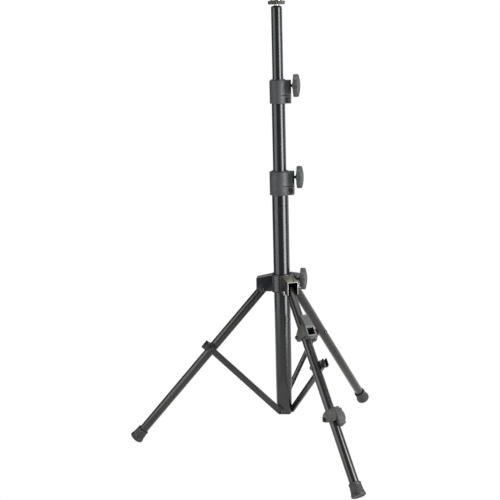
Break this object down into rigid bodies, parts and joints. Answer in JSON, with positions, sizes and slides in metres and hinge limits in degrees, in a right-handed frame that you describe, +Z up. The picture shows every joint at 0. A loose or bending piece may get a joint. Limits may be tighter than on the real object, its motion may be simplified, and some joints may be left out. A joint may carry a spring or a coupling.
{
  "type": "telescopic tripod stand",
  "caption": "Telescopic tripod stand for a loudspeaker or lamp: sliding hub, struts to the mast, knob clamps, threaded top stud and clamp brackets on a leg.",
  "frame": {"origin": "on the floor, below the middle of the outer box; the mast's axis stands at x = 0.100 m, y = 0", "axes": "+Z up, the mast's axis; the mast's clamp knobs point along +X and the left leg along -X; the other two legs stand at +60 and -60 degrees"},
  "size_m": [0.6419, 0.7352, 1.199],
  "materials": {
    "steel_black": "gloss black coating",
    "hub_paint": "satin dark grey coating",
    "plastic_grey": "matt dark grey",
    "rubber_black": "matt",
    "nylon_black": "satin",
    "zinc_steel": "zinc plated",
    "brass_pad": "plain"
  },
  "bodies": {
    "mast": {"mast_lower_tube": "steel_black", "mast_bottom_cap": "nylon_black", "strut_rivet_left": "zinc_steel", "strut_rivet_rear": "zinc_steel", "strut_rivet_front": "zinc_steel", "lower_collar": "plastic_grey", "lower_collar_sleeve": "nylon_black", "lower_collar_screw": "zinc_steel"},
    "lower_pad": {"lower_clamp_pad": "brass_pad"},
    "lower_knob": {"lower_clamp_knob": "plastic_grey", "lower_clamp_screw": "zinc_steel"},
    "middle_bush": {"middle_guide_bush": "nylon_black"},
    "middle_mast": {"mast_middle_tube": "steel_black", "upper_collar": "plastic_grey", "upper_collar_sleeve": "nylon_black", "upper_collar_screw": "zinc_steel"},
    "upper_pad": {"upper_clamp_pad": "brass_pad"},
    "upper_knob": {"upper_clamp_knob": "plastic_grey", "upper_clamp_screw": "zinc_steel"},
    "top_bush": {"top_guide_bush": "nylon_black"},
    "top_mast": {"mast_top_tube": "steel_black", "top_end_plug": "nylon_black", "top_stud": "zinc_steel", "top_adapter_boss": "zinc_steel"},
    "lock_disc": {"top_lock_disc": "nylon_black"},
    "hub": {"hub_bracket": "hub_paint", "hub_sleeve": "nylon_black", "leg_pivot_bolt_left": "zinc_steel", "leg_pivot_bolt_rear": "zinc_steel", "leg_pivot_bolt_front": "zinc_steel", "leg_pivot_nut_left": "zinc_steel", "leg_pivot_nut_rear": "zinc_steel", "leg_pivot_nut_front": "zinc_steel"},
    "hub_pad": {"hub_clamp_pad": "brass_pad"},
    "hub_knob": {"hub_clamp_knob": "plastic_grey", "hub_clamp_screw": "zinc_steel"},
    "leg_left": {"leg_tube_left": "steel_black", "leg_foot_left": "rubber_black", "strut_clip_left": "steel_black", "strut_pin_left": "zinc_steel"},
    "strut_left_arm": {"strut_left": "steel_black"},
    "leg_rear": {"leg_tube_rear": "steel_black", "leg_foot_rear": "rubber_black", "strut_clip_rear": "steel_black", "strut_pin_rear": "zinc_steel"},
    "strut_rear_arm": {"strut_rear": "steel_black"},
    "leg_front": {"leg_tube_front": "steel_black", "leg_foot_front": "rubber_black", "strut_clip_front": "steel_black", "strut_pin_front": "zinc_steel"},
    "strut_front_arm": {"strut_front": "steel_black"},
    "bracket_upper": {"leg_bracket_upper": "plastic_grey", "leg_bracket_upper_bolt": "zinc_steel"},
    "bracket_upper_wheel": {"leg_bracket_upper_knob": "plastic_grey"},
    "bracket_lower": {"leg_bracket_lower": "plastic_grey", "leg_bracket_lower_bolt": "zinc_steel"},
    "bracket_lower_wheel": {"leg_bracket_lower_knob": "plastic_grey"}
  },
  "joints": [
    {"name": "legs_fold", "type": "hinge", "parent": "mast", "child": "strut_left_arm", "pos_m": [0.09, 0, 0.1], "axis": [0, 1, 0], "range_deg": [0, 32.52]},
    {"name": "leg_left_turn", "type": "hinge", "parent": "strut_left_arm", "child": "leg_left", "pos_m": [-0.08885, 0, 0.26892], "axis": [0, -1, 0], "range_deg": [0, 67.57]},
    {"name": "hub_on_left_leg", "type": "hinge", "parent": "leg_left", "child": "hub", "pos_m": [0.049, 0, 0.43129], "axis": [0, 1, 0], "range_deg": [0, 35.05]},
    {"name": "leg_rear_turn", "type": "hinge", "parent": "hub", "child": "leg_rear", "pos_m": [0.1255, 0.04417, 0.43129], "axis": [-0.866, 0.5, 0], "range_deg": [0, 35.05]},
    {"name": "strut_rear_turn", "type": "hinge", "parent": "leg_rear", "child": "strut_rear_arm", "pos_m": [0.19443, 0.16355, 0.26892], "axis": [0.866, -0.5, 0], "range_deg": [0, 67.57]},
    {"name": "leg_front_turn", "type": "hinge", "parent": "hub", "child": "leg_front", "pos_m": [0.1255, -0.04417, 0.43129], "axis": [0.866, 0.5, 0], "range_deg": [0, 35.05]},
    {"name": "strut_front_turn", "type": "hinge", "parent": "leg_front", "child": "strut_front_arm", "pos_m": [0.19443, -0.16355, 0.26892], "axis": [-0.866, -0.5, 0], "range_deg": [0, 67.57]},
    {"name": "middle_mast_slide", "type": "slide", "parent": "mast", "child": "middle_bush", "axis": [0, 0, 1], "range_m": [-0.165, 0.22]},
    {"name": "middle_mast_swivel", "type": "hinge", "parent": "middle_bush", "child": "middle_mast", "pos_m": [0.1, 0, 0.6], "axis": [0, 0, 1], "continuous": true},
    {"name": "top_mast_slide", "type": "slide", "parent": "middle_mast", "child": "top_bush", "axis": [0, 0, 1], "range_m": [-0.18, 0.21]},
    {"name": "top_mast_swivel", "type": "hinge", "parent": "top_bush", "child": "top_mast", "pos_m": [0.1, 0, 0.9], "axis": [0, 0, 1], "continuous": true},
    {"name": "lock_disc_spin", "type": "hinge", "parent": "top_mast", "child": "lock_disc", "pos_m": [0.1, 0, 1.1625], "axis": [0, 0, 1], "continuous": true},
    {"name": "lower_knob_turn", "type": "hinge", "parent": "lower_pad", "child": "lower_knob", "pos_m": [0.145, 0, 0.7247], "axis": [1, 0, 0], "range_deg": [0, 540]},
    {"name": "lower_pad_slide", "type": "slide", "parent": "mast", "child": "lower_pad", "axis": [1, 0, 0], "range_m": [0, 0.0019]},
    {"name": "upper_knob_turn", "type": "hinge", "parent": "upper_pad", "child": "upper_knob", "pos_m": [0.145, 0, 0.957], "axis": [1, 0, 0], "range_deg": [0, 540]},
    {"name": "upper_pad_slide", "type": "slide", "parent": "middle_mast", "child": "upper_pad", "axis": [1, 0, 0], "range_m": [0, 0.0019]},
    {"name": "hub_knob_turn", "type": "hinge", "parent": "hub_pad", "child": "hub_knob", "pos_m": [0.145, 0, 0.458], "axis": [1, 0, 0], "range_deg": [0, 540]},
    {"name": "hub_pad_slide", "type": "slide", "parent": "hub", "child": "hub_pad", "axis": [1, 0, 0], "range_m": [0, 0.0019]},
    {"name": "bracket_upper_slide", "type": "slide", "parent": "leg_front", "child": "bracket_upper", "axis": [0.3236, -0.5605, -0.7623], "range_m": [-0.045, 0.06]},
    {"name": "bracket_upper_knob_turn", "type": "hinge", "parent": "bracket_upper", "child": "bracket_upper_wheel", "pos_m": [0.15606, -0.0971, 0.32839], "axis": [0.866, 0.5, 0], "range_deg": [0, 540]},
    {"name": "bracket_lower_slide", "type": "slide", "parent": "leg_front", "child": "bracket_lower", "axis": [0.3236, -0.5605, -0.7623], "range_m": [-0.025, 0.12]},
    {"name": "bracket_lower_knob_turn", "type": "hinge", "parent": "bracket_lower", "child": "bracket_lower_wheel", "pos_m": [0.22952, -0.22433, 0.15534], "axis": [0.866, 0.5, 0], "range_deg": [0, 540]}
  ],
  "couplings": [
    {"joint": "lower_pad_slide", "follows": "lower_knob_turn", "m_per_rad": 0.00019894},
    {"joint": "upper_pad_slide", "follows": "upper_knob_turn", "m_per_rad": 0.00019894},
    {"joint": "hub_pad_slide", "follows": "hub_knob_turn", "m_per_rad": 0.00019894},
    {"joint": "leg_left_turn", "follows": "legs_fold", "ratio": 2.0763},
    {"joint": "hub_on_left_leg", "follows": "legs_fold", "ratio": 1.0763},
    {"joint": "leg_rear_turn", "follows": "legs_fold", "ratio": 1.0763},
    {"joint": "leg_front_turn", "follows": "legs_fold", "ratio": 1.0763},
    {"joint": "strut_rear_turn", "follows": "legs_fold", "ratio": 2.0763},
    {"joint": "strut_front_turn", "follows": "legs_fold", "ratio": 2.0763}
  ]
}
